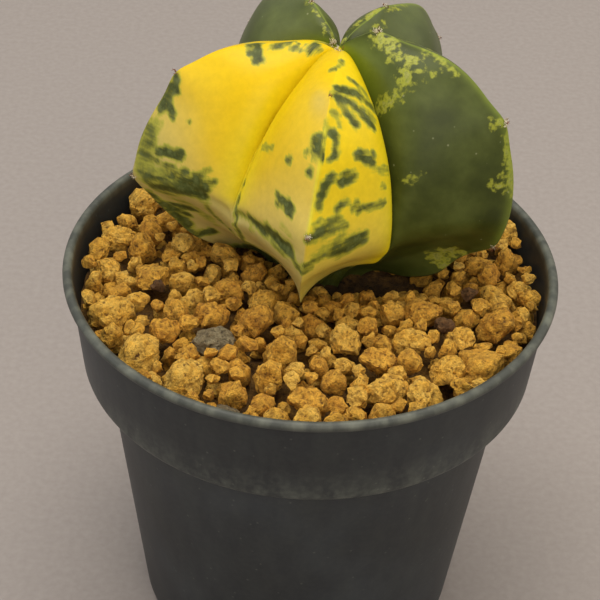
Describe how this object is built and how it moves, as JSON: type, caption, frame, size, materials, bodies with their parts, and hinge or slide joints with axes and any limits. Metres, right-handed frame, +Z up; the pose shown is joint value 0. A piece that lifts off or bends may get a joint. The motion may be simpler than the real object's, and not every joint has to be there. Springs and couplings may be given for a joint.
{
  "type": "potted kikko astrophytum",
  "caption": "Spineless star cactus with swollen tortoise-shell ribs, variegated yellow and green, in a round black nursery pot topped with ochre clay granules.",
  "frame": {"origin": "middle of the pot's flat underside", "axes": "+Z up along the pot's axis, -Y towards the side that the picture shows as the front, +X to the picture's right"},
  "size_m": [0.09, 0.09, 0.1189],
  "materials": {
    "pot_plastic": "satin, dusty",
    "potting_mix": "matte, crumbly",
    "clay_granules": "matte, porous",
    "cactus_skin": "waxy satin, yellow with dark green marks"
  },
  "bodies": {
    "root": {"pot": "pot_plastic", "potting_mix": "potting_mix", "top_dressing": "clay_granules", "cactus": "cactus_skin"}
  },
  "joints": []
}
